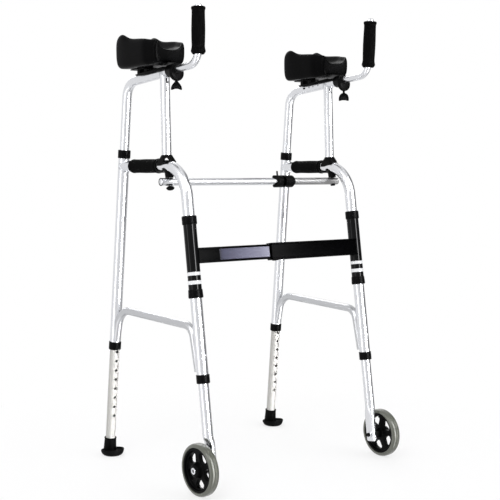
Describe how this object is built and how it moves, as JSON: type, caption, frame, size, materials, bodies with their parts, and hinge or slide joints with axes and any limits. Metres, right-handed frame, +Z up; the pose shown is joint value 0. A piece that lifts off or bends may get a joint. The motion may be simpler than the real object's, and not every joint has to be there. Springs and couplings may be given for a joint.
{
  "type": "two-wheeled walker",
  "caption": "folding two-wheeled walker with forearm troughs, upright hand grips, telescoping legs, rubber rear feet and a two-part folding stay",
  "frame": {"origin": "on the floor, midway between the two side frames and midway from front to back", "axes": "+Z is up, the front with the wheels faces -Y, +X is the walker's left side seen by its user"},
  "size_m": [0.634, 0.5378, 1.156],
  "materials": {
    "tube_aluminium": "satin polished drawn aluminium tube",
    "black_plastic": "moulded black nylon, slightly shiny",
    "black_gloss": "gloss black paint on metal",
    "black_foam": "fine-celled black foam rubber",
    "black_leatherette": "black moulded polyurethane pad with a smooth skin",
    "black_rubber": "moulded black rubber",
    "grey_tyre": "solid grey rubber tyre",
    "bright_steel": "bright zinc-plated steel"
  },
  "bodies": {
    "crossbar": {"sleeve_right": "black_gloss", "sleeve_left": "black_gloss", "crossbar_right_half": "black_gloss", "crossbar_left_half": "black_gloss"},
    "frame_right": {"front_leg_tube_right": "tube_aluminium", "rear_leg_tube_right": "tube_aluminium", "side_brace_right": "tube_aluminium", "platform_tube_right": "tube_aluminium", "front_post_right": "tube_aluminium", "saddle_right": "black_plastic", "upper_collar_right": "black_plastic", "rear_leg_collar_right": "black_plastic", "front_leg_collar_right": "black_plastic", "handle_grip_right": "black_foam", "stay_bolt_right": "bright_steel", "stay_knob_nut": "black_plastic"},
    "frame_left": {"front_leg_tube_left": "tube_aluminium", "rear_leg_tube_left": "tube_aluminium", "side_brace_left": "tube_aluminium", "platform_tube_left": "tube_aluminium", "front_post_left": "tube_aluminium", "saddle_left": "black_plastic", "upper_collar_left": "black_plastic", "rear_leg_collar_left": "black_plastic", "front_leg_collar_left": "black_plastic", "handle_grip_left": "black_foam"},
    "stay_long": {"stay_tube_long": "tube_aluminium", "stay_hinge_collar": "black_plastic", "stay_hinge_pin": "bright_steel"},
    "stay_short": {"stay_tube_short": "tube_aluminium", "stay_hinge_housing": "black_plastic", "stay_bolt_left": "black_plastic"},
    "rear_leg_right": {"rear_extension_right": "tube_aluminium", "rubber_foot_right": "black_rubber"},
    "front_leg_right": {"front_extension_right": "tube_aluminium", "axle_bolt_right": "bright_steel"},
    "wheel_right": {"tyre_right": "grey_tyre", "wheel_disc_right": "black_plastic"},
    "front_button_right": {"front_snap_button_right": "bright_steel"},
    "rear_button_right": {"rear_snap_button_right": "bright_steel"},
    "trough_right": {"arm_trough_right": "black_leatherette", "trough_bracket_right": "black_plastic"},
    "clamp_right": {"handle_clamp_right": "black_plastic"},
    "wing_screw_right": {"clamp_wing_screw_right": "black_plastic"},
    "handle_right": {"handle_bar_right": "tube_aluminium", "hand_grip_right": "black_foam"},
    "rear_leg_left": {"rear_extension_left": "tube_aluminium", "rubber_foot_left": "black_rubber"},
    "front_leg_left": {"front_extension_left": "tube_aluminium", "axle_bolt_left": "bright_steel"},
    "wheel_left": {"tyre_left": "grey_tyre", "wheel_disc_left": "black_plastic"},
    "front_button_left": {"front_snap_button_left": "bright_steel"},
    "rear_button_left": {"rear_snap_button_left": "bright_steel"},
    "trough_left": {"arm_trough_left": "black_leatherette", "trough_bracket_left": "black_plastic"},
    "clamp_left": {"handle_clamp_left": "black_plastic"},
    "wing_screw_left": {"clamp_wing_screw_left": "black_plastic"},
    "handle_left": {"handle_bar_left": "tube_aluminium", "hand_grip_left": "black_foam"}
  },
  "joints": [
    {"name": "fold_right", "type": "hinge", "parent": "crossbar", "child": "frame_right", "pos_m": [-0.263, -0.2138, 0], "axis": [0, -0.1468, -0.9892], "range_deg": [0, 86]},
    {"name": "fold_left", "type": "hinge", "parent": "crossbar", "child": "frame_left", "pos_m": [0.263, -0.2138, 0], "axis": [0, 0.1468, 0.9892], "range_deg": [0, 56.5]},
    {"name": "stay_pivot", "type": "hinge", "parent": "frame_right", "child": "stay_long", "pos_m": [-0.26485, -0.03725, 0.7335], "axis": [0, 0.1468, 0.9892], "range_deg": [0, 61.51]},
    {"name": "stay_hinge", "type": "hinge", "parent": "stay_long", "child": "stay_short", "pos_m": [0.0875, -0.01895, 0.73079], "axis": [0, 0.1468, 0.9892], "range_deg": [0, 95.16]},
    {"name": "rear_leg_slide_right", "type": "slide", "parent": "frame_right", "child": "rear_leg_right", "axis": [0.0068, -0.1008, 0.9949], "range_m": [-0.05, 0.125]},
    {"name": "front_leg_slide_right", "type": "slide", "parent": "frame_right", "child": "front_leg_right", "axis": [0, -0.1468, -0.9892], "range_m": [0, 0.125]},
    {"name": "wheel_spin_right", "type": "hinge", "parent": "front_leg_right", "child": "wheel_right", "pos_m": [-0.29399, -0.20535, 0.06275], "axis": [-0.9996, -0.0273, 0.004], "continuous": true},
    {"name": "front_button_press_right", "type": "slide", "parent": "frame_right", "child": "front_button_right", "axis": [-0.0276, 0.9888, -0.1467], "range_m": [0, 0.003], "stiffness_N_per_m": 600, "springref_m": -0.003},
    {"name": "rear_button_press_right", "type": "slide", "parent": "frame_right", "child": "rear_button_right", "axis": [-0.0267, 0.9945, 0.1009], "range_m": [0, 0.003], "stiffness_N_per_m": 600, "springref_m": -0.003},
    {"name": "trough_slide_right", "type": "slide", "parent": "frame_right", "child": "trough_right", "axis": [0.0275, -0.9965, 0.0793], "range_m": [-0.012, 0.012]},
    {"name": "handle_slide_right", "type": "slide", "parent": "frame_right", "child": "clamp_right", "axis": [0.0275, -0.9965, 0.0793], "range_m": [0, 0.05]},
    {"name": "handle_swivel_right", "type": "hinge", "parent": "clamp_right", "child": "handle_right", "pos_m": [-0.26297, -0.066, 1.00285], "axis": [0.0275, -0.9965, 0.0793], "range_deg": [-40, 40]},
    {"name": "wing_screw_turn_right", "type": "hinge", "parent": "clamp_right", "child": "wing_screw_right", "pos_m": [-0.26309, -0.066, 0.975], "axis": [-0.004, -0.0001, -1], "range_deg": [0, 360]},
    {"name": "rear_leg_slide_left", "type": "slide", "parent": "frame_left", "child": "rear_leg_left", "axis": [-0.0068, -0.1008, 0.9949], "range_m": [-0.05, 0.125]},
    {"name": "front_leg_slide_left", "type": "slide", "parent": "frame_left", "child": "front_leg_left", "axis": [0, -0.1468, -0.9892], "range_m": [0, 0.125]},
    {"name": "wheel_spin_left", "type": "hinge", "parent": "front_leg_left", "child": "wheel_left", "pos_m": [0.29399, -0.20535, 0.06275], "axis": [0.9996, -0.0273, 0.004], "continuous": true},
    {"name": "front_button_press_left", "type": "slide", "parent": "frame_left", "child": "front_button_left", "axis": [0.0276, 0.9888, -0.1467], "range_m": [0, 0.003], "stiffness_N_per_m": 600, "springref_m": -0.003},
    {"name": "rear_button_press_left", "type": "slide", "parent": "frame_left", "child": "rear_button_left", "axis": [0.0267, 0.9945, 0.1009], "range_m": [0, 0.003], "stiffness_N_per_m": 600, "springref_m": -0.003},
    {"name": "trough_slide_left", "type": "slide", "parent": "frame_left", "child": "trough_left", "axis": [-0.0275, -0.9965, 0.0793], "range_m": [-0.012, 0.012]},
    {"name": "handle_slide_left", "type": "slide", "parent": "frame_left", "child": "clamp_left", "axis": [-0.0275, -0.9965, 0.0793], "range_m": [-0.017, 0.033]},
    {"name": "handle_swivel_left", "type": "hinge", "parent": "clamp_left", "child": "handle_left", "pos_m": [0.2625, -0.08299, 1.00421], "axis": [-0.0275, -0.9965, 0.0793], "range_deg": [-40, 40]},
    {"name": "wing_screw_turn_left", "type": "hinge", "parent": "clamp_left", "child": "wing_screw_left", "pos_m": [0.26262, -0.08299, 0.975], "axis": [0.004, -0.0001, -1], "range_deg": [0, 360]}
  ],
  "couplings": [
    {"joint": "fold_left", "follows": "fold_right", "ratio": 0.65698},
    {"joint": "stay_pivot", "follows": "fold_right", "ratio": 0.71522},
    {"joint": "stay_hinge", "follows": "fold_right", "ratio": 1.1065}
  ]
}
